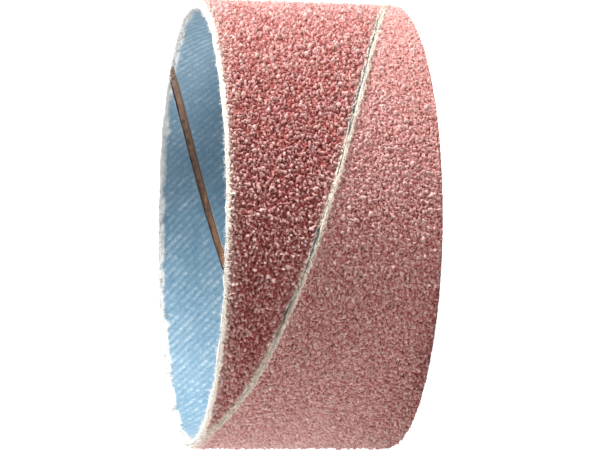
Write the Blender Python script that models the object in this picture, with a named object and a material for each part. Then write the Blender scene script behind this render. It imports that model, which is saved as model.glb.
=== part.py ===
"""Sanding sleeve of two plies of cloth, each rolled from a flat skewed blank.

The outer ply is abrasive cloth with its grain outwards, and the inner ply is the twill liner. Each blank
is a parallelogram whose slanted ends meet in a butt seam, so the seam climbs the sleeve as a left-hand
spiral. A bead of the resin that bonds the plies shows in the liner's open seam.
The sleeve stands on one cut rim, with its axis on Z and the middle of that rim at the origin. Angles run
round Z from the front, at -Y, towards +X. Lengths are in metres.
"""

import math

import bmesh
import bpy
import numpy as np
from mathutils import Matrix

SLEEVE = "sanding_sleeve"

OUTER_DIAMETER = 0.060
WIDTH = 0.027
FLATS_PER_TURN = 144

# The abrasive cloth is a cotton backing under a coat of grain, which breaks away beside each cut edge.
BACKING_THICKNESS = 0.00035
GRAIN_COAT = 0.00030
CHIPPED_MARGIN = 0.00020

LINER_THICKNESS = 0.00045
BOND_LINE = 0.00010

# A lead is the height that a seam would climb in one whole turn, and a gap is measured across its seam.
ABRASIVE_SEAM_LEAD = 0.0609
ABRASIVE_SEAM_ANGLE_AT_FOOT = 91.5
ABRASIVE_SEAM_GAP = 0.00020
LINER_SEAM_LEAD = 0.0575
LINER_SEAM_ANGLE_AT_FOOT = 300.4
LINER_SEAM_GAP = 0.00110

# The resin bead stands on the back of the abrasive cloth, between the liner's two edges.
BEAD_HEIGHT = 0.00040
BEAD_SIDE_CLEARANCE = 0.00010
BEAD_SEAT_CLEARANCE = 0.00005

ABRASIVE_THICKNESS = BACKING_THICKNESS + GRAIN_COAT
BACK_RADIUS = OUTER_DIAMETER / 2 - ABRASIVE_THICKNESS
BORE_RADIUS = BACK_RADIUS - BOND_LINE - LINER_THICKNESS


def finish(name, colour, roughness):
    """A Principled material of one linear colour, and of no metal."""
    material = bpy.data.materials.new(name)
    material.use_nodes = True
    shader = material.node_tree.nodes["Principled BSDF"]
    shader.inputs["Base Color"].default_value = (*colour, 1.0)
    shader.inputs["Roughness"].default_value = roughness
    shader.inputs["Metallic"].default_value = 0.0
    material.diffuse_color = (*colour, 1.0)
    return material


def clear_scene():
    """Removes every object, so that the sleeve is all that the file holds."""
    for thing in list(bpy.data.objects):
        bpy.data.objects.remove(thing, do_unlink=True)


def skewed_blank(length, run, thickness):
    """A flat plate that stands on edge in front of the Z axis, with its outer face at -Y.

    Its foot runs from 0 to length along X, and each slanted end leans back by run over the sleeve's width.
    """
    blank = bmesh.new()
    plate = Matrix(
        (
            (length, 0.0, -run, (length - run) / 2),
            (0.0, thickness, 0.0, -thickness / 2),
            (0.0, 0.0, WIDTH, WIDTH / 2),
            (0.0, 0.0, 0.0, 1.0),
        )
    )
    bmesh.ops.create_cube(blank, size=1.0, matrix=plate)
    return blank


def add_coat(blank, depth, margin):
    """Raises the outer face by the coat's depth, in a slope as wide as the margin on all four edges."""
    outer_face = min(blank.faces, key=lambda face: face.calc_center_median().y)
    bmesh.ops.inset_region(
        blank, faces=[outer_face], thickness=margin, depth=depth, use_even_offset=True
    )


def score(blank, pitch, first_x):
    """Cuts the flat blank along every generator, where the roll has a corner between two flats."""
    lowest = min(vertex.co.x for vertex in blank.verts)
    highest = max(vertex.co.x for vertex in blank.verts)
    count_below = math.ceil((lowest - first_x) / pitch)
    count_above = math.floor((highest - first_x) / pitch)
    for step in range(count_below, count_above + 1):
        bmesh.ops.bisect_plane(
            blank,
            geom=[*blank.verts, *blank.edges, *blank.faces],
            dist=1e-7,
            plane_co=(first_x + step * pitch, 0.0, 0.0),
            plane_no=(1.0, 0.0, 0.0),
        )


def roll_up(mesh, back_radius, mid_radius, start_angle):
    """Wraps the flat blank round Z: X becomes an arc at the middle of the cloth, and -Y a radius."""
    flat = np.empty(len(mesh.vertices) * 3)
    mesh.vertices.foreach_get("co", flat)
    along, inward, height = flat.reshape(-1, 3).T
    angle = start_angle + along / mid_radius
    radius = back_radius - inward
    rolled = np.column_stack((radius * np.sin(angle), -radius * np.cos(angle), height))
    mesh.vertices.foreach_set("co", rolled.ravel())
    mesh.update()


def add_ply(collection, name, material, back_radius, base, seam, span=None, coat=None):
    """Adds one ply, whose back lies at back_radius.

    base is the thickness of its cloth, and coat the depth and chipped margin of what covers the cloth.
    seam is the lead, the angle at the foot of the seam's middle, and the gap. The ply goes all the way
    round from one side of its gap to the other, or, where span is given, it fills that width of the gap.
    """
    lead, foot_degrees, gap = seam
    depth, margin = coat or (0.0, 0.0)
    mid_radius = back_radius + (base + depth) / 2
    turn = 2 * math.pi * mid_radius
    along_rim = math.hypot(lead, turn) / lead
    foot_angle = math.radians(foot_degrees)
    if span is None:
        length = turn - gap * along_rim
        start_angle = foot_angle + gap * along_rim / 2 / mid_radius
    else:
        length = span * along_rim
        start_angle = foot_angle - length / 2 / mid_radius

    blank = skewed_blank(length, turn * WIDTH / lead, base)
    if coat:
        add_coat(blank, depth, margin)
    pitch = turn / FLATS_PER_TURN
    score(blank, pitch, -(start_angle * mid_radius) % pitch)

    mesh = bpy.data.meshes.new(name)
    blank.to_mesh(mesh)
    blank.free()
    roll_up(mesh, back_radius, mid_radius, start_angle)
    mesh.shade_smooth()
    mesh.set_sharp_from_angle(angle=math.radians(30))
    mesh.materials.append(material)
    collection.objects.link(bpy.data.objects.new(name, mesh))


def abrasive_cloth(collection):
    """The outer ply: pink-red aluminium oxide grain on cotton, chipped to the cloth at its cut edges."""
    add_ply(
        collection,
        "abrasive_cloth",
        finish("aluminium oxide grain", (0.45, 0.20, 0.19), 0.75),
        back_radius=BACK_RADIUS,
        base=BACKING_THICKNESS,
        seam=(ABRASIVE_SEAM_LEAD, ABRASIVE_SEAM_ANGLE_AT_FOOT, ABRASIVE_SEAM_GAP),
        coat=(GRAIN_COAT, CHIPPED_MARGIN),
    )


def liner_cloth(collection):
    """The inner ply: blue cotton twill, cut flush with the abrasive cloth at both rims."""
    add_ply(
        collection,
        "liner_cloth",
        finish("blue cotton twill", (0.25, 0.39, 0.48), 0.9),
        back_radius=BORE_RADIUS,
        base=LINER_THICKNESS,
        seam=(LINER_SEAM_LEAD, LINER_SEAM_ANGLE_AT_FOOT, LINER_SEAM_GAP),
    )


def seam_resin(collection):
    """The bead of brown bonding resin that fills the bottom of the liner's open seam."""
    add_ply(
        collection,
        "seam_resin",
        finish("cured brown resin", (0.21, 0.13, 0.09), 0.45),
        back_radius=BACK_RADIUS - BEAD_SEAT_CLEARANCE - BEAD_HEIGHT,
        base=BEAD_HEIGHT,
        seam=(LINER_SEAM_LEAD, LINER_SEAM_ANGLE_AT_FOOT, LINER_SEAM_GAP),
        span=LINER_SEAM_GAP - 2 * BEAD_SIDE_CLEARANCE,
    )


def main():
    clear_scene()
    collection = bpy.data.collections.new(SLEEVE)
    bpy.context.scene.collection.children.link(collection)
    abrasive_cloth(collection)
    liner_cloth(collection)
    seam_resin(collection)


main()
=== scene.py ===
"""Sanding sleeve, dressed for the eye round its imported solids.

The abrasive cloth, its twill liner, the bead of resin in the liner's seam and the frayed thread ends are
surfaces worked out on lattices of angle and height. Each takes the place of its CAD node, in metres and in
the same frame: axis on Z, foot at Z = 0, and angles round Z from -Y towards +X.
"""

import math

import bpy
import numpy as np
from bpy.props import FloatProperty, FloatVectorProperty, PointerProperty
from mathutils import Matrix, Vector


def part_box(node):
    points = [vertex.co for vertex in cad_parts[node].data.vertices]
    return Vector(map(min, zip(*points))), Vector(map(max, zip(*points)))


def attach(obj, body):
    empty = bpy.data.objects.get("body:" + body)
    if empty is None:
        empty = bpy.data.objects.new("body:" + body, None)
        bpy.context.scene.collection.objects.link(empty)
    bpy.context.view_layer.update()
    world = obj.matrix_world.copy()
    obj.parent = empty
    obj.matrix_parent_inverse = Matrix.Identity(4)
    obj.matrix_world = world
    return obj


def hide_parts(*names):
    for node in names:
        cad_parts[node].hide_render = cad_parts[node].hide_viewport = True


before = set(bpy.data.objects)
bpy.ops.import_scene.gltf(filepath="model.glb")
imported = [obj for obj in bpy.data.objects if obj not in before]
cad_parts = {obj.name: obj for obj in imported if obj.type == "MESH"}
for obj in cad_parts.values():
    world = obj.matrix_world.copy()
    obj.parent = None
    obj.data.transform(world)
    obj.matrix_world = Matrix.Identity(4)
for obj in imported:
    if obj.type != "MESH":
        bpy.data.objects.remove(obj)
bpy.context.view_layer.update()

bl_info = {
    "name": "Sanding Sleeve",
    "version": (1, 0, 0),
    "blender": (4, 5, 0),
    "location": "3D View > Sidebar > Sleeve",
    "description": "Makes the grain, twill, resin and frayed edges of a spiral-wound sanding sleeve",
    "category": "Object",
}

BODY = "root"
OUTER_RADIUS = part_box("abrasive_cloth")[1].x
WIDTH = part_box("abrasive_cloth")[1].z
MM = 0.001

# A lattice's rows are level rings, and each row starts where the seam crosses it. step is how many columns
# a row starts behind the row under it. coarse is how many cells of the seen face share one on its back.
GRAIN_LATTICE = {"rows": 200, "columns": 1350, "step": 3, "coarse": 10}
LINER_LATTICE = {"rows": 90, "columns": 980, "step": 7, "coarse": 10}
RESIN_ROWS, RESIN_COLUMNS = 240, 12

# The abrasive cloth is drawn in lengths, which keeps each piece's mesh small enough
GRAIN_PIECES = ("abrasive_cloth_a", "abrasive_cloth_b", "abrasive_cloth_c")
HEAD_THREADS, FOOT_THREADS, SEAM_THREADS = 7600, 1500, 1900

GRAIN_SEED, LINER_SEED, FRAY_SEED, RESIN_SEED, SWAY_SEED = 11, 23, 37, 41, 5

# The camera's focal length is in pixels of a picture this wide
PICTURE_WIDTH = 600


def linear(hex_colour):
    """The linear colour of an sRGB hex value."""
    parts = (int(hex_colour[k : k + 2], 16) / 255 for k in (0, 2, 4))
    return tuple(c / 12.92 if c <= 0.04045 else ((c + 0.055) / 1.055) ** 2.4 for c in parts)


def length(name, description, default):
    """A length in metres that a user may change."""
    return FloatProperty(
        name=name, description=description, default=default, unit="LENGTH", precision=6
    )


def angle(name, description, degrees):
    """An angle that a user may change."""
    return FloatProperty(
        name=name, description=description, default=math.radians(degrees), subtype="ANGLE"
    )


def colour(name, description, hex_colour):
    """A colour that a user may change."""
    return FloatVectorProperty(
        name=name, description=description, default=linear(hex_colour), subtype="COLOR", size=3,
        min=0.0, max=1.0,
    )


class SleeveSizes(bpy.types.PropertyGroup):
    """Sizes of the plies and their seams."""

    abrasive_thickness: length("Abrasive cloth", "Thickness of cloth and grain", 0.65 * MM)
    grain_coat: length("Grain coat", "Depth of the grain on its cloth", 0.30 * MM)
    liner_thickness: length("Liner", "Thickness of the twill liner", 0.45 * MM)
    bond_line: length("Bond line", "Film of resin between the plies", 0.10 * MM)
    abrasive_lead: length("Abrasive seam lead", "Climb of the seam in one turn", 60.9 * MM)
    abrasive_foot: angle("Abrasive seam foot", "Angle of the seam at the foot", 91.5)
    abrasive_gap: length("Abrasive seam gap", "Width across the open seam", 0.20 * MM)
    liner_lead: length("Liner seam lead", "Climb of the seam in one turn", 57.5 * MM)
    liner_foot: angle("Liner seam foot", "Angle of the seam at the foot", 300.4)
    liner_gap: length("Liner seam gap", "Width across the open seam", 1.10 * MM)
    bead_height: length("Resin bead", "Height of the resin in the liner's seam", 0.33 * MM)


class GrainLook(bpy.types.PropertyGroup):
    """Grain size and colours of the abrasive."""

    spacing: length("Grain spacing", "Distance between large grains", 0.31 * MM)
    relief: length("Relief", "Height of the grains over the pits", 0.74 * MM)
    margin: length("Chipped margin", "Worn cloth beside the head rim", 0.28 * MM)
    seam_margin: length("Seam margin", "Bare cloth beside the seam, at the blank's end", 0.26 * MM)
    # The pit colour is dark resin with painted shade, and the tip colour is pale stone with a painted
    # highlight
    pit_resin_and_shade: colour("Pits", "Resin in the pits between grains", "681B19")
    middle: colour("Flanks", "Sides of the grains", "AC5751")
    tip_and_highlight: colour("Tips", "Broken tips of the grains", "E8C0B9")
    cotton: colour("Cotton", "Bare backing cloth and its threads", "E9DDCD")


class LinerLook(bpy.types.PropertyGroup):
    """Weave and colours of the liner and its resin."""

    rib_pitch: length("Rib pitch", "Distance across one rib of the twill", 0.86 * MM)
    rib_relief: length("Rib relief", "Height of a rib", 0.06 * MM)
    dye: colour("Dye", "Blue of the twill", "8EAABA")
    dye_deep: colour("Deep dye", "Blue between the ribs", "648DA5")
    pale_thread: colour("Pale thread", "Threads that took little dye", "C8D2D5")
    undyed: colour("Undyed thread", "Frayed threads at the rims", "F7F3EE")
    resin: colour("Resin", "Cured bonding resin", "A07354")
    # Darker streaks in the resin, and the painted shadow along one edge of the bead
    resin_streak_and_shadow: colour("Dark resin", "Thick or shaded resin", "5C3B28")


class StageLook(bpy.types.PropertyGroup):
    """Camera, lamps and floor."""

    distance: length("Camera distance", "From the sleeve's middle", 339.4 * MM)
    elevation: angle("Camera elevation", "Above level, at the front", 11.23)
    roll: angle("Camera roll", "Turn of the picture past a right angle", 0.83)
    aim_drop: length("Aim", "How far under the sleeve's middle the camera aims", 1.46 * MM)
    aim_side: length("Aim sideways", "How far towards +X the camera aims", 0.08 * MM)
    lens_in_pixels: FloatProperty(
        name="Focal length", description="In pixels of a picture 600 wide", default=2524.1
    )
    floor: colour("Floor", "Pale floor", "F2F2F2")


def add_node(tree, kind, settings=None, inputs=None, stops=None):
    """Adds one node. inputs are its sockets' values, or the outputs that they are linked to."""
    node = tree.nodes.new(kind)
    for name, value in (settings or {}).items():
        setattr(node, name, value)
    for name, value in (inputs or {}).items():
        if isinstance(value, bpy.types.NodeSocket):
            tree.links.new(value, node.inputs[name])
        else:
            node.inputs[name].default_value = value
    for number, (place, shade) in enumerate(stops or ()):
        elements = node.color_ramp.elements
        element = elements[number] if number < 2 else elements.new(place)
        element.position, element.color = place, (*shade, 1.0)
    return node


def new_material(name):
    """An empty material with its tree and its Principled shader."""
    material = bpy.data.materials.new(name)
    material.use_nodes = True
    tree = material.node_tree
    return material, tree, tree.nodes["Principled BSDF"]


def smooth_step(low, high, value):
    """0 under low and 1 over high, with level ends: 3t^2 - 2t^3 of the share t of the way."""
    share = np.clip((value - low) / (high - low), 0.0, 1.0)
    return share * share * (3.0 - 2.0 * share)


def soft_noise(across, up, cell, seed):
    """Random values from -1 to 1 at the corners of square cells, eased between them."""
    chance = np.random.default_rng(seed)
    u, v = across / cell, up / cell
    column, row = np.floor(u).astype(int), np.floor(v).astype(int)
    left, foot = column.min(), row.min()
    table = chance.uniform(-1.0, 1.0, (column.max() - left + 2, row.max() - foot + 2))
    column, row, u, v = column - left, row - foot, u - column, v - row
    u, v = u * u * (3 - 2 * u), v * v * (3 - 2 * v)
    low = table[column, row] * (1 - u) + table[column + 1, row] * u
    high = table[column, row + 1] * (1 - u) + table[column + 1, row + 1] * u
    return low * (1 - v) + high * v


def tallest_grain(across, up, spacing, chance):
    """The top surface of a bed of grains, one in each square cell and moved about in it.

    A grain is a tilted flat-topped stone: its top, less 0.6 (|a|^1.8 + |b|^1.8), where a and b are the
    distances along its two axes in units of its own half-widths, plus its tilt. Each point belongs to the
    grain that is tallest there. Gives the height in units of a grain's size, and that grain's number and
    middle.
    """
    column = np.floor(across / spacing).astype(int) + 2
    row = np.floor(up / spacing).astype(int) + 2
    shape = (column.max() + 3, row.max() + 3)
    jitter_u, jitter_v = chance.uniform(0.1, 0.9, (2, *shape))
    turn = chance.uniform(0.0, math.pi, shape)
    top = chance.uniform(0.30, 1.0, shape)
    long, short = chance.uniform(0.60, 0.95, shape), chance.uniform(0.38, 0.60, shape)
    tilt_u, tilt_v = chance.normal(0.0, 0.50, (2, *shape))
    number = chance.uniform(0.0, 1.0, shape)
    height = np.full(across.shape, -9.0)
    found, middle_u, middle_v = (np.zeros(across.shape) for _ in range(3))
    for side in range(-1, 2):
        for rise in range(-1, 2):
            c, r = column + side, row + rise
            grain_u = (c - 2 + jitter_u[c, r]) * spacing
            grain_v = (r - 2 + jitter_v[c, r]) * spacing
            off_u, off_v = (across - grain_u) / spacing, (up - grain_v) / spacing
            cos, sin = np.cos(turn[c, r]), np.sin(turn[c, r])
            along = (off_u * cos + off_v * sin) / long[c, r]
            over = (off_v * cos - off_u * sin) / short[c, r]
            stone = top[c, r] - 0.6 * (np.abs(along) ** 1.8 + np.abs(over) ** 1.8)
            stone += tilt_u[c, r] * off_u + tilt_v[c, r] * off_v
            wins = stone > height
            height = np.where(wins, stone, height)
            found = np.where(wins, number[c, r], found)
            middle_u = np.where(wins, grain_u, middle_u)
            middle_v = np.where(wins, grain_v, middle_v)
    return height, found, middle_u, middle_v


def lattice_faces(rows, columns, step):
    """Quads and triangles of a lattice whose rows each start step columns behind the row under them.

    A cell joins column i of one row to column i + step of the next, so its sides stand nearly upright.
    The two slanted ends are closed by fans of step triangles.
    """
    index = np.arange((rows + 1) * (columns + 1)).reshape(rows + 1, columns + 1)
    low, high = index[:-1], index[1:]
    kept = columns - step
    quads = (low[:, :kept], low[:, 1 : kept + 1], high[:, step + 1 :], high[:, step:columns])
    quads = np.stack(quads, -1).reshape(-1, 4)
    start = np.repeat(low[:, :1], step, 1)
    end = np.repeat(high[:, columns:], step, 1)
    opening = np.stack((start, high[:, 1 : step + 1], high[:, :step]), -1).reshape(-1, 3)
    closing = np.stack((end, low[:, kept:columns], low[:, kept + 1 :]), -1).reshape(-1, 3)
    return quads, np.concatenate((opening, closing))


def lattice_rim(rows, columns):
    """The lattice's outline, once round: foot, far end, head and near end."""
    index = np.arange((rows + 1) * (columns + 1)).reshape(rows + 1, columns + 1)
    return np.concatenate((index[0, :-1], index[:-1, -1], index[-1, :0:-1], index[:0:-1, 0]))


def sheet_faces(rows, columns, step, coarse, levels):
    """Every face of a closed sheet: its seen face, a wall of some levels round it, and a coarser back.

    The third array names, for each triangle, the points whose places on the bake map it takes. The hidden
    triangles that join the wall to the back take one point's place for all three corners.
    """
    quads, triangles = lattice_faces(rows, columns, step)
    loop = lattice_rim(rows, columns)
    loops = [loop]
    seen_count = (rows + 1) * (columns + 1)
    for level in range(levels):
        loops.append(seen_count + level * len(loop) + np.arange(len(loop)))
    walls = [
        np.stack((np.roll(a, -1), a, b, np.roll(b, -1)), -1) for a, b in zip(loops, loops[1:])
    ]
    back_start = seen_count + levels * len(loop)
    back_quads, back_triangles = lattice_faces(rows // coarse, columns // coarse, step)
    back_loop = back_start + lattice_rim(rows // coarse, columns // coarse)
    last, after = loops[-1], np.roll(loops[-1], -1)
    shared = np.repeat(back_loop, coarse)
    fan = np.stack((shared, after, last), -1)
    key = np.stack((back_loop, np.roll(back_loop, -1), np.roll(last[::coarse], -1)), -1)
    back_triangles = back_start + back_triangles[:, ::-1]
    all_quads = np.concatenate((quads, *walls, back_start + back_quads[:, ::-1]))
    all_triangles = np.concatenate((triangles, fan, key, back_triangles))
    mapped = np.concatenate((triangles, fan[:, [0, 0, 0]], key[:, [0, 0, 0]], back_triangles))
    return all_quads, all_triangles, mapped


def bake_map(rows, columns, coarse, levels):
    """Places of a sheet's points on its bake map.

    The seen face is a rectangle, its wall a frame round that, and the back a strip above both.
    """
    border, top_of_face, foot_of_back = 0.015, 0.80, 0.84
    low = np.array([border, border])
    high = np.array([1 - border, top_of_face])

    def grid(up, along, foot, head):
        v, u = np.meshgrid(np.linspace(0, 1, up + 1), np.linspace(0, 1, along + 1), indexing="ij")
        return foot + np.stack((u, v), -1).reshape(-1, 2) * (head - foot)

    face = grid(rows, columns, low, high)
    frames = [
        (low + high) / 2
        + (face[lattice_rim(rows, columns)] - (low + high) / 2) * (1 + 0.01 * (level + 1))
        for level in range(levels)
    ]
    back = grid(
        rows // coarse, columns // coarse,
        np.array([border, foot_of_back]), np.array([1 - border, 1 - border]),
    )
    return np.concatenate((face, *frames, back))


def make_piece(name, points, quads, triangles, material, node, attributes=None, bake=None):
    """Puts a mesh into the scene as a piece that rides with the body and stands for its CAD node.

    bake is the places of the points on the bake map, and the points whose places the triangles take.
    """
    mesh = bpy.data.meshes.new(name)
    corners = np.concatenate((quads.ravel(), triangles.ravel()))
    sizes = np.concatenate((np.full(len(quads), 4), np.full(len(triangles), 3)))
    mesh.vertices.add(len(points))
    mesh.vertices.foreach_set("co", points.ravel())
    mesh.loops.add(len(corners))
    mesh.loops.foreach_set("vertex_index", corners)
    mesh.polygons.add(len(sizes))
    mesh.polygons.foreach_set("loop_start", np.cumsum(sizes) - sizes)
    mesh.update(calc_edges=True)
    for title, values in (attributes or {}).items():
        mesh.attributes.new(title, "FLOAT", "POINT").data.foreach_set("value", values)
    if bake:
        places, mapped = bake
        places = places[np.concatenate((quads.ravel(), mapped.ravel()))]
        mesh.uv_layers.new(name="OFBake").uv.foreach_set("vector", places.ravel())
    mesh.shade_smooth()
    mesh.set_sharp_from_angle(angle=math.radians(75))
    mesh.materials.append(material)
    piece = bpy.data.objects.new(name, mesh)
    bpy.context.scene.collection.objects.link(piece)
    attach(piece, BODY)
    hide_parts(node)
    return piece


def round_z(angles, radius, height):
    """Points at an angle from -Y towards +X, a radius and a height."""
    return np.stack((radius * np.sin(angles), -radius * np.cos(angles), height), -1)


def seam_spread(lead, radius):
    """How much longer a width across a seam is when it is measured along the rim."""
    return math.hypot(lead, 2 * math.pi * radius) / lead


def aluminium_oxide_material(look):
    """Coated abrasive: crushed aluminium oxide set in red resin on cream cotton.

    Pits hold dark resin, darkened further as painted shade, and broken tips are pale, partly as a painted
    highlight, so the surface sparkles pink over maroon.
    """
    material, tree, shader = new_material("coated_aluminium_oxide_on_cotton")
    place = add_node(tree, "ShaderNodeTexCoord").outputs["Object"]
    relief = add_node(tree, "ShaderNodeAttribute", {"attribute_name": "relief"}).outputs["Fac"]
    tone = add_node(tree, "ShaderNodeAttribute", {"attribute_name": "tone"}).outputs["Fac"]
    cover = add_node(tree, "ShaderNodeAttribute", {"attribute_name": "cover"}).outputs["Fac"]
    # Dust and small chips of about 0.2 mm
    dust = add_node(
        tree, "ShaderNodeTexNoise", None, {"Vector": place, "Scale": 1 / (0.22 * MM), "Detail": 2.0}
    ).outputs["Fac"]
    uneven = add_node(
        tree, "ShaderNodeMath", {"operation": "MULTIPLY_ADD"}, {0: dust, 1: 0.24, 2: -0.12}
    ).outputs[0]
    tinted = add_node(
        tree, "ShaderNodeMath", {"operation": "MULTIPLY_ADD"}, {0: tone, 1: 0.26, 2: uneven}
    ).outputs[0]
    # Where the grain is worn thin, its pits are filled with pale dust
    dusty = add_node(
        tree, "ShaderNodeMapRange", None, {"Value": cover, "To Min": 0.45, "To Max": 0.0}
    ).outputs[0]
    lifted = add_node(
        tree, "ShaderNodeMath", {"operation": "ADD"}, {0: relief, 1: dusty}
    ).outputs[0]
    level = add_node(
        tree, "ShaderNodeMath", {"operation": "ADD", "use_clamp": True}, {0: lifted, 1: tinted}
    ).outputs[0]
    # Colour by height: darker in the pits is partly painted shade, and paler on the tips is partly a
    # painted highlight
    grain = add_node(
        tree, "ShaderNodeValToRGB", None, {"Fac": level},
        stops=((0.08, look.pit_resin_and_shade), (1.0, look.tip_and_highlight), (0.42, look.middle)),
    ).outputs["Color"]
    mixed = add_node(
        tree, "ShaderNodeMix", {"data_type": "RGBA"}, {0: cover, 6: (*look.cotton, 1.0), 7: grain}
    ).outputs[2]
    tree.links.new(mixed, shader.inputs["Base Color"])
    # The resin in the pits is dull, and only the broken stone glints
    for socket, in_pits, on_tips in (("Roughness", 0.80, 0.50), ("Specular IOR Level", 0.05, 0.40)):
        ranged = add_node(
            tree, "ShaderNodeMapRange", None,
            {"Value": level, "From Min": 0.30, "From Max": 0.90, "To Min": in_pits, "To Max": on_tips},
        ).outputs[0]
        tree.links.new(ranged, shader.inputs[socket])
    # Corundum's own index, and a little sheen for the dust on it
    shader.inputs["IOR"].default_value = 1.76
    shader.inputs["Sheen Weight"].default_value = 0.20
    shader.inputs["Sheen Roughness"].default_value = 0.45
    # Chipped faces too small for the mesh, of about 0.25 mm
    chips = add_node(
        tree, "ShaderNodeTexVoronoi", {"feature": "F1"}, {"Vector": place, "Scale": 1 / (0.25 * MM)}
    ).outputs["Distance"]
    broken = add_node(
        tree, "ShaderNodeMath", {"operation": "MULTIPLY_ADD"}, {0: chips, 1: -0.8, 2: dust}
    ).outputs[0]
    bump = add_node(
        tree, "ShaderNodeBump", None, {"Height": broken, "Distance": 0.20 * MM, "Strength": 1.0}
    ).outputs["Normal"]
    tree.links.new(bump, shader.inputs["Normal"])
    return material


def cotton_material(name, cotton):
    """Raw frayed cotton thread: dull, with a soft pale edge from its loose fibres."""
    material, tree, shader = new_material(name)
    place = add_node(tree, "ShaderNodeTexCoord").outputs["Object"]
    fibre = add_node(
        tree, "ShaderNodeTexNoise", None, {"Vector": place, "Scale": 1 / (0.5 * MM), "Detail": 3.0}
    ).outputs["Fac"]
    dirty = tuple(0.72 * c for c in cotton)
    shade = add_node(
        tree, "ShaderNodeValToRGB", None, {"Fac": fibre}, stops=((0.30, dirty), (0.62, cotton))
    ).outputs["Color"]
    tree.links.new(shade, shader.inputs["Base Color"])
    shader.inputs["Roughness"].default_value = 0.9
    shader.inputs["Sheen Weight"].default_value = 0.6
    shader.inputs["Sheen Roughness"].default_value = 0.6
    return material


def twill_material(look):
    """Dyed cotton twill: blue ribs with paler worn threads on top, bleached and frayed at the rims."""
    material, tree, shader = new_material("dyed_cotton_twill")
    place = add_node(tree, "ShaderNodeTexCoord").outputs["Object"]
    rib = add_node(tree, "ShaderNodeAttribute", {"attribute_name": "rib"}).outputs["Fac"]
    bare = add_node(tree, "ShaderNodeAttribute", {"attribute_name": "bare"}).outputs["Fac"]
    thread = add_node(
        tree, "ShaderNodeTexNoise", None, {"Vector": place, "Scale": 1 / (0.38 * MM), "Detail": 3.0}
    ).outputs["Fac"]
    blotch = add_node(
        tree, "ShaderNodeTexNoise", None, {"Vector": place, "Scale": 1 / (4 * MM), "Detail": 2.0}
    ).outputs["Fac"]
    patchy = add_node(
        tree, "ShaderNodeMath", {"operation": "MULTIPLY_ADD"}, {0: blotch, 1: 0.5, 2: -0.72}
    ).outputs[0]
    worn = add_node(
        tree, "ShaderNodeMath", {"operation": "MULTIPLY_ADD"}, {0: thread, 1: 1.05, 2: patchy}
    ).outputs[0]
    level = add_node(
        tree, "ShaderNodeMath", {"operation": "MULTIPLY_ADD", "use_clamp": True},
        {0: rib, 1: 0.80, 2: worn},
    ).outputs[0]
    blue = add_node(
        tree, "ShaderNodeValToRGB", None, {"Fac": level},
        stops=((0.0, look.dye_deep), (1.0, look.pale_thread), (0.55, look.dye)),
    ).outputs["Color"]
    mixed = add_node(
        tree, "ShaderNodeMix", {"data_type": "RGBA"}, {0: bare, 6: blue, 7: (*look.undyed, 1.0)}
    ).outputs[2]
    tree.links.new(mixed, shader.inputs["Base Color"])
    # The size that stiffens the cloth gives it a pale sheen where it is seen aslant
    shader.inputs["Roughness"].default_value = 0.45
    shader.inputs["Specular IOR Level"].default_value = 1.0
    shader.inputs["Sheen Weight"].default_value = 1.0
    shader.inputs["Sheen Roughness"].default_value = 0.30
    bump = add_node(
        tree, "ShaderNodeBump", None, {"Height": thread, "Distance": 0.03 * MM, "Strength": 0.6}
    ).outputs["Normal"]
    tree.links.new(bump, shader.inputs["Normal"])
    return material


def resin_material(look):
    """Cured bonding resin: brown, streaked along the seam and a little glossy."""
    material, tree, shader = new_material("cured_phenolic_resin")
    place = add_node(tree, "ShaderNodeTexCoord").outputs["Object"]
    streak = add_node(
        tree, "ShaderNodeTexNoise", None, {"Vector": place, "Scale": 1 / (0.9 * MM), "Detail": 3.0}
    ).outputs["Fac"]
    side = add_node(tree, "ShaderNodeAttribute", {"attribute_name": "side"}).outputs["Fac"]
    # The film is painted darker along one edge of the bead, as the shadow of the groove's wall beside it
    level = add_node(
        tree, "ShaderNodeMath", {"operation": "MULTIPLY_ADD"}, {0: side, 1: -0.22, 2: streak}
    ).outputs[0]
    shade = add_node(
        tree, "ShaderNodeValToRGB", None, {"Fac": level},
        stops=((0.22, look.resin_streak_and_shadow), (0.62, look.resin)),
    ).outputs["Color"]
    tree.links.new(shade, shader.inputs["Base Color"])
    shader.inputs["Roughness"].default_value = 0.5
    return material


def cut_rise(angles, up):
    """How far a point rises with the cut head rim, which strays from level in two long waves."""
    waves = 0.05 * MM * np.sin(3 * angles + 0.4) + 0.03 * MM * np.sin(7 * angles + 2.0)
    return waves * smooth_step(WIDTH - 3 * MM, WIDTH, up)


def spiral_lattice(rows, columns, radius, lead, foot, gap):
    """Angles and heights of a lattice that goes once round, from one edge of its seam to the other.

    The middle of the seam stands at the angle foot - 2 pi z / lead. Also gives the gap's angle and the
    angle of one column.
    """
    gap_angle = gap * seam_spread(lead, radius) / radius
    column_angle = (2 * math.pi - gap_angle) / columns
    height = np.linspace(0.0, WIDTH, rows + 1)[:, None]
    seam = foot - 2 * math.pi * height / lead
    angles = seam + gap_angle / 2 + np.arange(columns + 1)[None, :] * column_angle
    return angles, np.broadcast_to(height, angles.shape), gap_angle, column_angle


def closed_sheet(face, back, depths, rows, columns, step, coarse, inwards=False):
    """Points, quads, triangles and bake map of a closed sheet whose back lies at one radius.

    face is the angles, radii and heights of the seen side. Each level of the wall round it lies at its
    own depth, as a share of the way to the back.
    """
    seen = [a.ravel() for a in face]
    edge = [a[lattice_rim(rows, columns)] for a in seen]
    angles, _, height = (a[::coarse, ::coarse].ravel() for a in face)
    points = np.concatenate((
        round_z(*seen),
        *(round_z(edge[0], edge[1] + (back - edge[1]) * depth, edge[2]) for depth in depths),
        round_z(angles, np.full(len(angles), back), height),
    ))
    faces = sheet_faces(rows, columns, step, coarse, len(depths))
    if inwards:
        faces = [a[:, ::-1] for a in faces]
    quads, triangles, mapped = faces
    return points, quads, triangles, (bake_map(rows, columns, coarse, len(depths)), mapped)


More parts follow.
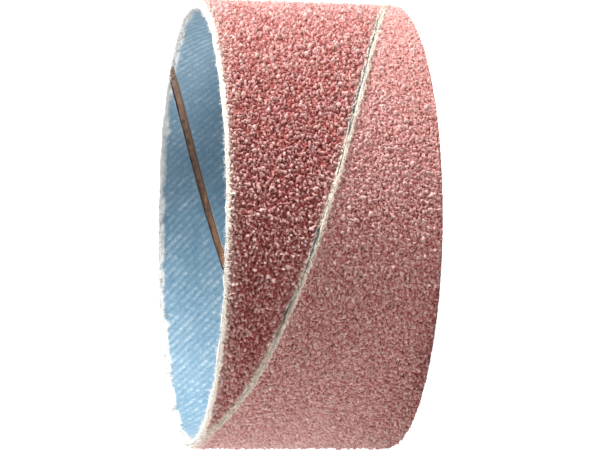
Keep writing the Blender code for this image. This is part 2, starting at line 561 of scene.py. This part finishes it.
def grain_bed(across, up, share, spacing):
    """Coat, relief, tone and grain middles of a bed of large grains with small ones between them.

    share is how much of the blank lies behind a point. The coat is 1 where it is full, and thinner and
    finer towards the blank's far end. The relief is about 0 in the pits and 1 on the tips.
    """
    chance = np.random.default_rng(GRAIN_SEED)
    tall, tone, middle_u, middle_v = tallest_grain(across, up, spacing, chance)
    small, small_tone = tallest_grain(across, up, 0.55 * spacing, chance)[:2]
    far = smooth_step(0.40, 0.80, share)
    small = 0.5 * small + 0.1 + 0.22 * far
    tone = np.where(small > tall, small_tone, tone)
    coat = 1.0 - 0.16 * far
    relief = np.clip(np.maximum(small, tall) - 0.11 - 0.06 * far, -0.15, 1.1)
    return coat, relief, 0.8 * tone + 0.22 * far, middle_u, middle_v


def edge_sway(height):
    """How far each of the seam's two edges stands back at a height, from -0.6 to 1.

    It is soft noise, one row for each edge. Where both stand back the seam is open, and towards the head
    they draw together.
    """
    edges = np.array([[0.0, 40 * MM]]) + 0 * height
    sway = soft_noise(height + 0 * edges, edges, 1.0 * MM, SWAY_SEED)
    return np.clip(2.2 * sway - 2.4 * smooth_step(0.60 * WIDTH, 0.85 * WIDTH, height), -0.6, 1.0)


def build_abrasive(sizes, look, material):
    """The outer ply: a lattice on the grain side of the blank, as three lengths.

    Its radius is the bed of grains, whose pits lie 0.8 of the relief inside the outer radius. Where a
    grain is nearer an edge than a ragged margin it has broken away, and the radius is the bare cloth's:
    a fine weave, with a twisted swell beside the seam.
    """
    columns = GRAIN_LATTICE["columns"]
    # The back carries the film of resin, down to the liner
    back = OUTER_RADIUS - sizes.abrasive_thickness - 0.9 * sizes.bond_line
    lead, foot = sizes.abrasive_lead, sizes.abrasive_foot
    spread = seam_spread(lead, OUTER_RADIUS)
    angles, up, gap_angle, column_angle = spiral_lattice(
        GRAIN_LATTICE["rows"], columns, OUTER_RADIUS, lead, foot, sizes.abrasive_gap
    )
    first_angle = angles.min()
    across = (angles - first_angle) * OUTER_RADIUS
    number = np.arange(columns + 1)[None, :]
    coat, relief, tone, middle_u, middle_v = grain_bed(across, up, number / columns, look.spacing)

    def to_edges(u, v):
        """Distances to the head rim, and to the start and the end of the blank."""
        from_seam = u / OUTER_RADIUS + first_angle - gap_angle / 2 - (foot - 2 * math.pi * v / lead)
        from_seam = from_seam * OUTER_RADIUS / spread
        full = (2 * math.pi - gap_angle) * OUTER_RADIUS / spread
        return WIDTH - v, from_seam, full - from_seam

    ragged = 1.0 + 0.45 * soft_noise(across, up, 1.1 * MM, GRAIN_SEED + 1)
    ragged = ragged + 0.35 * soft_noise(across, up, 0.35 * MM, GRAIN_SEED + 2)
    own_edges = to_edges(across, up)
    own_rim, own_start, own_end = own_edges
    rim, start, end = (0.5 * (a + b) for a, b in zip(to_edges(middle_u, middle_v), own_edges))
    # The start of the blank is chipped less than its end
    held = (rim > look.margin * ragged) & (start > 0.08 * MM * (2.0 * ragged - 1.0))
    held &= end > look.seam_margin * (1.7 * ragged - 0.7)

    weave = 0.5 + 0.25 * np.sin(across / (0.09 * MM)) + 0.25 * np.sin(up / (0.08 * MM))
    twist = 0.7 + 0.3 * np.sin(across / (0.16 * MM) + own_end / (0.06 * MM)) * ragged
    swell = 0.20 * MM * twist * np.exp(-(((own_end / MM - 0.20) / 0.20) ** 2))
    cloth = OUTER_RADIUS - 0.7 * sizes.grain_coat + 0.04 * MM * weave + swell
    level = 0.5 + (relief - 0.5) * coat
    pits = OUTER_RADIUS - look.relief * 0.8
    radius = np.where(held, pits + look.relief * level, cloth)
    # The knife has pressed both rims inwards
    radius = radius - 0.14 * MM * np.exp(-own_rim / (0.15 * MM)) - 0.05 * MM * np.exp(-up / (0.10 * MM))

    # The grain wears into cotton beside the rim and both ends of the blank, in specks
    speckle = 1.0 + 0.5 * soft_noise(across, up, 0.2 * MM, GRAIN_SEED + 3)
    worn = 0.75 * np.exp(-own_rim / (0.50 * MM)) + 0.8 * np.exp(-own_end / look.seam_margin)
    worn += 0.55 * np.exp(-own_start / (0.25 * MM))
    cover = np.clip(1.0 - worn * speckle, 0.0, 1.0) * np.where(held, 1.0, 0.20)

    # The two edges of the seam sway, and the cloth follows them over about a millimetre
    sway = edge_sway(up[:, :1])
    from_start, from_end = number * column_angle, (columns - number) * column_angle
    reach = 1.2 * MM / OUTER_RADIUS
    angles = angles + 0.15 * MM / OUTER_RADIUS * spread * (
        sway[:, :1] * np.exp(-from_start / reach) - sway[:, 1:] * np.exp(-from_end / reach)
    )
    height = up + cut_rise(angles, up)

    per_length = columns // len(GRAIN_PIECES)
    for name, first in zip(GRAIN_PIECES, range(0, columns, per_length)):
        part = np.s_[:, first : first + per_length + 1]
        face = [a[part] for a in (angles, radius, height)]
        points, quads, triangles, bake = closed_sheet(
            face, back, (0.3, 0.75), **{**GRAIN_LATTICE, "columns": per_length}
        )
        bare = np.zeros(len(points) - face[0].size)
        attributes = {
            "relief": np.concatenate((level[part].ravel(), bare + 0.5)),
            "tone": np.concatenate((tone[part].ravel(), bare + 0.5)),
            "cover": np.concatenate((cover[part].ravel(), bare)),
        }
        make_piece(
            name, points, quads, triangles, material, "abrasive_cloth", attributes, bake
        )


def twill_ribs(across, up, tilt, pitch):
    """Height of the twill's ribs, from 0 to 1.

    A rib is a raised cosine over its pitch, and leans from the axis by the tilt. Along it lie floats of
    thread 0.8 mm long, each an arch |sin| with a strength of its own, and shifted from one rib to the next.
    """
    over_ribs = across * math.cos(tilt) - up * math.sin(tilt)
    along_ribs = across * math.sin(tilt) + up * math.cos(tilt)
    wave = 0.5 + 0.5 * np.cos(2 * math.pi * over_ribs / pitch)
    row = np.floor(over_ribs / pitch + 0.5).astype(int)
    along = along_ribs / (0.80 * MM) + 0.37 * row
    dash = np.floor(along).astype(int)
    row, dash = row - row.min(), dash - dash.min()
    chance = np.random.default_rng(LINER_SEED + 2)
    strength = chance.uniform(0.30, 1.0, (row.max() + 1, dash.max() + 1))[row, dash]
    return (0.25 + 0.75 * wave) * strength * (0.35 + 0.65 * np.abs(np.sin(math.pi * along)))


def build_liner(sizes, look, material):
    """The inner ply: a lattice on the bore side, whose radius is the bore's less the ribs of the twill.

    Its columns lean with the ribs. Its rims are bare of dye, and the head rim is ragged.
    """
    rows, columns, step = (LINER_LATTICE[key] for key in ("rows", "columns", "step"))
    back = OUTER_RADIUS - sizes.abrasive_thickness - sizes.bond_line
    bore = back - sizes.liner_thickness
    lead = sizes.liner_lead
    angles, up, _, column_angle = spiral_lattice(
        rows, columns, bore, lead, sizes.liner_foot, sizes.liner_gap
    )
    across = (angles - angles.min()) * bore
    tilt = math.atan(step * column_angle * bore * rows / WIDTH - 2 * math.pi * bore / lead)
    rib = twill_ribs(across, up, tilt, look.rib_pitch)
    ragged = soft_noise(across, up, 1.8 * MM, LINER_SEED)
    ragged = ragged + 0.4 * soft_noise(across, up, 0.45 * MM, LINER_SEED + 1)
    undyed_band = 0.70 * MM * (1 + 0.55 * ragged)
    from_rim = np.minimum(up, WIDTH - up)
    bare = 1.0 - smooth_step(-0.15 * MM, 0.15 * MM, from_rim - undyed_band)
    radius = bore + look.rib_relief * (0.5 - rib)
    height = up + cut_rise(angles, up)
    height = height + 0.12 * MM * (1 + ragged) * smooth_step(WIDTH - 0.6 * MM, WIDTH, up)

    depths = (0.35, 0.8)
    points, quads, triangles, bake = closed_sheet(
        (angles, radius, height), back, depths, **LINER_LATTICE, inwards=True
    )
    wall = np.ones(len(depths) * len(lattice_rim(rows, columns)))
    behind = points[up.size + len(wall) :, 2]
    attributes = {
        # Rib 0 gives the back the deepest blue: dyed cloth, made darker as painted shade where it shows
        # through the abrasive's seam
        "rib": np.concatenate((rib.ravel(), 0.3 * wall, 0.0 * behind)),
        "bare": np.concatenate((bare.ravel(), wall, (behind > WIDTH - MM).astype(float))),
    }
    make_piece(
        "liner_twill", points, quads, triangles, material, "liner_cloth", attributes, bake
    )


def build_resin(sizes, material):
    """The bead in the liner's seam: a low ridge on the abrasive cloth's back, swept up the seam.

    Its height falls off by 0.55 of the fourth power of the share of its half-width, and both its height
    and its width waver.
    """
    seat = OUTER_RADIUS - sizes.abrasive_thickness - sizes.bond_line
    height = np.linspace(0.0, WIDTH, RESIN_ROWS + 1)[:, None]
    seam = sizes.liner_foot - 2 * math.pi * height / sizes.liner_lead
    share = np.linspace(-1.0, 1.0, RESIN_COLUMNS + 1)[None, :]
    up = np.broadcast_to(height, (RESIN_ROWS + 1, RESIN_COLUMNS + 1))
    waver = soft_noise(up * 3, up * 0, 1.2 * MM, RESIN_SEED)
    half = sizes.liner_gap * (0.5 + 0.03 * waver)
    angles = seam + share * half * seam_spread(sizes.liner_lead, seat) / seat
    rise = sizes.bead_height * (1 - 0.55 * share**4) * (1 + 0.25 * waver)
    top = round_z(angles, seat - rise, up)
    foot = round_z(angles, np.full(angles.shape, seat), up)
    points = np.concatenate((top.reshape(-1, 3), foot.reshape(-1, 3)))
    count = angles.size
    index = np.arange(count).reshape(angles.shape)
    quads = np.stack((index[:-1, :-1], index[:-1, 1:], index[1:, 1:], index[1:, :-1]), -1)
    quads = quads.reshape(-1, 4)
    loop = lattice_rim(RESIN_ROWS, RESIN_COLUMNS)
    wall = np.stack((np.roll(loop, -1), loop, loop + count, np.roll(loop, -1) + count), -1)
    every = np.concatenate((quads, wall, quads[:, ::-1] + count))
    no_triangles = np.zeros((0, 3), int)
    side = np.tile(np.broadcast_to(share, angles.shape).ravel(), 2)
    make_piece(
        "seam_bead", points, every[:, ::-1], no_triangles, material, "seam_resin",
        {"side": side},
    )


def fibres(roots, ways, lengths, widths, chance):
    """Thin tapered threads: three-sided tubes on curved paths.

    A path starts at its root and goes its own way, and strays from it by the square of the share done.
    Its width tapers to 0.4 at the end.
    """
    count, sections, sides = len(roots), 4, 3
    share = np.linspace(0.0, 1.0, sections)[None, :, None]
    stray = np.clip(chance.normal(0.0, 0.35, (count, 1, 3)), -0.5, 0.5) * lengths[:, None, None]
    path = roots[:, None] + ways[:, None] * lengths[:, None, None] * share + stray * share**2
    side = np.cross(ways, chance.normal(0.0, 1.0, (count, 3)))
    side /= np.linalg.norm(side, axis=1, keepdims=True)
    other = np.cross(ways, side)
    taper = (widths[:, None, None] / 2) * (1 - 0.6 * share)
    turns = 2 * math.pi * np.arange(sides) / sides
    ring = side[:, None, None] * np.cos(turns)[:, None] + other[:, None, None] * np.sin(turns)[:, None]
    points = (path[:, :, None] + ring * taper[..., None]).reshape(-1, 3)
    first = np.arange(count) * sections * sides
    level = first[:, None, None] + (np.arange(sections - 1) * sides)[None, :, None]
    a = level + np.arange(sides)[None, None]
    b = level + ((np.arange(sides) + 1) % sides)[None, None]
    quads = np.stack((a, b, b + sides, a + sides), -1).reshape(-1, 4)
    last = first + (sections - 1) * sides
    caps = np.concatenate((
        np.stack((first + 2, first + 1, first), -1), np.stack((last, last + 1, last + 2), -1)
    ))
    return points, quads, caps


def rim_threads(sizes, chance, count, height, rise, mean_length):
    """Roots, ways, lengths and widths of the threads of one cut rim, which lean by rise along Z."""
    bore = OUTER_RADIUS - sizes.abrasive_thickness - sizes.bond_line - sizes.liner_thickness
    angles = chance.uniform(0.0, 2 * math.pi, count)
    depth = chance.beta(0.8, 1.1, count)
    # Some stand on the bore side, under the rim, in tufts
    clump = soft_noise(angles * bore, 0 * angles, 0.9 * MM, FRAY_SEED + 1)
    under = chance.uniform(0.0, 1.0, count) < 0.5 * rise
    depth = np.where(under, 0.0, depth)
    radius = bore + (OUTER_RADIUS - 0.25 * MM - bore) * depth
    drop = np.where(under, chance.uniform(0.0, 0.70 * MM, count) * (1 + 0.8 * clump), 0.0)
    roots = round_z(angles, radius, height - drop)
    out = chance.normal(0.0, 0.25, count) + 0.5 * (depth - 0.45) - 0.5 * under
    way = round_z(angles, out, np.zeros(count))
    way += round_z(angles + math.pi / 2, chance.normal(0.0, 0.5, count), np.zeros(count))
    way[:, 2] = rise * chance.uniform(0.5, 1.0, count)
    way /= np.linalg.norm(way, axis=1, keepdims=True)
    tuft = 1 + 0.9 * soft_noise(angles * bore, depth * MM, 0.7 * MM, FRAY_SEED + 2)
    long = np.minimum(tuft * chance.gamma(3.0, mean_length / 3, count), 0.50 * MM)
    return roots, way, long, chance.uniform(0.04 * MM, 0.08 * MM, count)


def seam_threads(sizes, chance, count):
    """Roots, ways, lengths and widths of the threads along the abrasive's seam.

    They lie nearly along the seam, in a band of ragged width, most of them on the bare side.
    """
    height = chance.uniform(0.0, WIDTH, count)
    on_grain_side = chance.uniform(0.0, 1.0, count) < 0.08
    spread = seam_spread(sizes.abrasive_lead, OUTER_RADIUS)
    middle = sizes.abrasive_foot - 2 * math.pi * height / sizes.abrasive_lead
    band = 0.36 * MM * (1 + 0.6 * soft_noise(height, 0 * height, 1.1 * MM, FRAY_SEED + 3))
    off = chance.uniform(0.0, 1.0, count) * band * np.where(on_grain_side, 0.3, 1.0)
    off = sizes.abrasive_gap / 2 + off
    angles = middle + np.where(on_grain_side, 1.0, -1.0) * off * spread / OUTER_RADIUS
    roots = round_z(angles, OUTER_RADIUS + chance.uniform(-0.10, 0.08, count) * MM, height)
    climb = sizes.abrasive_lead / (2 * math.pi * OUTER_RADIUS)
    way = round_z(angles + math.pi / 2, np.ones(count), np.full(count, -climb))
    way *= np.where(chance.uniform(0.0, 1.0, count) < 0.5, -1.0, 1.0)[:, None]
    way[:, 2] += chance.normal(0.0, 0.16, count)
    way += round_z(angles, chance.uniform(-0.05, 0.12, count), np.zeros(count))
    way /= np.linalg.norm(way, axis=1, keepdims=True)
    long = np.minimum(chance.gamma(3.0, 0.20 * MM, count), 0.80 * MM)
    return roots, way, long, chance.uniform(0.05 * MM, 0.11 * MM, count)


def build_fray(sizes, white, cream):
    """Loose thread ends on both cut rims and along both sides of the abrasive's seam."""
    chance = np.random.default_rng(FRAY_SEED)
    head = rim_threads(sizes, chance, HEAD_THREADS, WIDTH - 0.03 * MM, 1.0, 0.28 * MM)
    foot = rim_threads(sizes, chance, FOOT_THREADS, 0.06 * MM, 0.0, 0.14 * MM)
    seam = seam_threads(sizes, chance, SEAM_THREADS)
    for name, threads, material, node, slot in (
        ("head_rim_threads", head, white, "liner_cloth", "liner_twill"),
        ("foot_rim_threads", foot, white, "liner_cloth", "liner_twill"),
        ("seam_threads", seam, cream, "abrasive_cloth", "abrasive_grain"),
    ):
        points, quads, caps = fibres(*threads, chance)
        # No thread goes through the floor
        points[:, 2] = np.maximum(points[:, 2], 0.01 * MM)
        make_piece(name, points, quads, caps, material, node)


def add_camera(look, middle):
    """A camera that lies on its side, so that the sleeve's axis runs across the picture."""
    camera = bpy.data.cameras.new("camera")
    camera.sensor_width = 36.0
    camera.lens = look.lens_in_pixels * camera.sensor_width / PICTURE_WIDTH
    camera.clip_start = 0.01
    back = Vector((0.0, -math.cos(look.elevation), math.sin(look.elevation)))
    place = middle + back * look.distance
    target = middle + Vector((look.aim_side, 0.0, -look.aim_drop))
    away = (place - target).normalized()
    right = Vector((0.0, -math.sin(look.elevation), -math.cos(look.elevation)))
    right = (right - away * right.dot(away)).normalized()
    up = away.cross(right)
    cos, sin = math.cos(look.roll), math.sin(look.roll)
    right, up = right * cos + up * sin, up * cos - right * sin
    turned = Matrix((right, up, away)).transposed().to_4x4()
    viewer = bpy.data.objects.new("camera", camera)
    viewer.matrix_world = Matrix.Translation(place) @ turned
    bpy.context.scene.collection.objects.link(viewer)
    bpy.context.scene.camera = viewer


def add_lamps(middle):
    """Square soft lamps that face the sleeve, each given by its name, place, side and watts."""
    for name, place, side, watts in (
        ("key_softbox", (0.40, -0.10, 0.38), 0.09, 4.6),
        ("top_softbox", (0.50, -0.02, 0.12), 0.12, 1.3),
        ("low_softbox", (-0.42, 0.10, 0.13), 0.12, 1.5),
        ("front_softbox", (-0.20, -0.40, 0.06), 0.10, 0.15),
    ):
        lamp = bpy.data.lights.new(name, "AREA")
        lamp.shape, lamp.size, lamp.energy = "SQUARE", side, watts
        holder = bpy.data.objects.new(name, lamp)
        holder.location = place
        holder.rotation_euler = (Vector(place) - middle).to_track_quat("Z", "Y").to_euler()
        bpy.context.scene.collection.objects.link(holder)


def add_world():
    """A white world that lights the sleeve at a fifth of the strength that it is seen at."""
    world = bpy.data.worlds.new("studio")
    world.use_nodes = True
    tree = world.node_tree
    rays = add_node(tree, "ShaderNodeLightPath")
    seen = rays.outputs["Is Camera Ray"]
    for kind in ("Is Glossy Ray", "Is Transmission Ray"):
        seen = add_node(
            tree, "ShaderNodeMath", {"operation": "MAXIMUM"}, {0: seen, 1: rays.outputs[kind]}
        ).outputs[0]
    strength = add_node(
        tree, "ShaderNodeMapRange", None, {"Value": seen, "To Min": 0.20, "To Max": 1.0}
    ).outputs[0]
    tree.links.new(strength, tree.nodes["Background"].inputs["Strength"])
    tree.nodes["Background"].inputs["Color"].default_value = (1.0, 1.0, 1.0, 1.0)
    bpy.context.scene.world = world


def add_floor(look):
    """A wide card just under the foot. It glows to the camera alone, which lightens its picture."""
    half, level = 3.0, -0.02 * MM
    mesh = bpy.data.meshes.new("floor")
    corners = [(-half, -half, level), (half, -half, level), (half, half, level), (-half, half, level)]
    mesh.from_pydata(corners, [], [(0, 1, 2, 3)])
    floor = bpy.data.objects.new("floor", mesh)
    bpy.context.scene.collection.objects.link(floor)
    material, tree, shader = new_material("matt_white_card")
    shader.inputs["Base Color"].default_value = (*look.floor, 1.0)
    shader.inputs["Roughness"].default_value = 0.9
    shader.inputs["Emission Color"].default_value = (1.0, 1.0, 1.0, 1.0)
    rays = add_node(tree, "ShaderNodeLightPath")
    glow = add_node(
        tree, "ShaderNodeMath", {"operation": "MULTIPLY"},
        {0: rays.outputs["Is Camera Ray"], 1: 0.85},
    ).outputs[0]
    tree.links.new(glow, shader.inputs["Emission Strength"])
    mesh.materials.append(material)


class SLEEVE_OT_abrasive(bpy.types.Operator):
    """Makes the abrasive cloth with its bed of grain"""

    bl_idname = "sleeve.abrasive"
    bl_label = "Abrasive cloth"

    def execute(self, context):
        scene = context.scene
        material = aluminium_oxide_material(scene.sleeve_grain)
        build_abrasive(scene.sleeve_sizes, scene.sleeve_grain, material)
        return {"FINISHED"}


class SLEEVE_OT_liner(bpy.types.Operator):
    """Makes the twill liner and the bead of resin in its seam"""

    bl_idname = "sleeve.liner"
    bl_label = "Liner and resin"

    def execute(self, context):
        scene = context.scene
        build_liner(scene.sleeve_sizes, scene.sleeve_liner, twill_material(scene.sleeve_liner))
        build_resin(scene.sleeve_sizes, resin_material(scene.sleeve_liner))
        return {"FINISHED"}


class SLEEVE_OT_fray(bpy.types.Operator):
    """Makes the loose threads of the rims and of the abrasive's seam"""

    bl_idname = "sleeve.fray"
    bl_label = "Frayed threads"

    def execute(self, context):
        scene = context.scene
        white = cotton_material("undyed_frayed_cotton", scene.sleeve_liner.undyed)
        cream = cotton_material("cream_frayed_cotton", scene.sleeve_grain.cotton)
        build_fray(scene.sleeve_sizes, white, cream)
        return {"FINISHED"}


class SLEEVE_OT_stage(bpy.types.Operator):
    """Sets the floor, the lamps and the camera"""

    bl_idname = "sleeve.stage"
    bl_label = "Stage"

    def execute(self, context):
        look = context.scene.sleeve_stage
        middle = Vector((0.0, 0.0, WIDTH / 2))
        add_camera(look, middle)
        add_lamps(middle)
        add_world()
        add_floor(look)
        context.scene.view_settings.view_transform = "Standard"
        return {"FINISHED"}


class SLEEVE_PT_maker(bpy.types.Panel):
    """Lists the steps that make the sleeve"""

    bl_idname = "SLEEVE_PT_maker"
    bl_label = "Sanding sleeve"
    bl_space_type = "VIEW_3D"
    bl_region_type = "UI"
    bl_category = "Sleeve"

    def draw(self, context):
        for step in STEPS:
            self.layout.operator(step.bl_idname)


STEPS = (SLEEVE_OT_stage, SLEEVE_OT_abrasive, SLEEVE_OT_liner, SLEEVE_OT_fray)
GROUPS = {
    "sleeve_sizes": SleeveSizes,
    "sleeve_grain": GrainLook,
    "sleeve_liner": LinerLook,
    "sleeve_stage": StageLook,
}


def register():
    """Registers the classes, and gives the scene its groups of settings."""
    for kind in (*GROUPS.values(), *STEPS, SLEEVE_PT_maker):
        bpy.utils.register_class(kind)
    for name, kind in GROUPS.items():
        setattr(bpy.types.Scene, name, PointerProperty(type=kind))


def unregister():
    """Takes the settings and the classes away again."""
    for name in GROUPS:
        delattr(bpy.types.Scene, name)
    for kind in (SLEEVE_PT_maker, *reversed(STEPS), *reversed(GROUPS.values())):
        bpy.utils.unregister_class(kind)


def main():
    """Makes the stage and every piece."""
    register()
    bpy.ops.sleeve.stage()
    bpy.ops.sleeve.abrasive()
    bpy.ops.sleeve.liner()
    bpy.ops.sleeve.fray()
    bpy.context.view_layer.update()


if __name__ == "__main__":
    main()
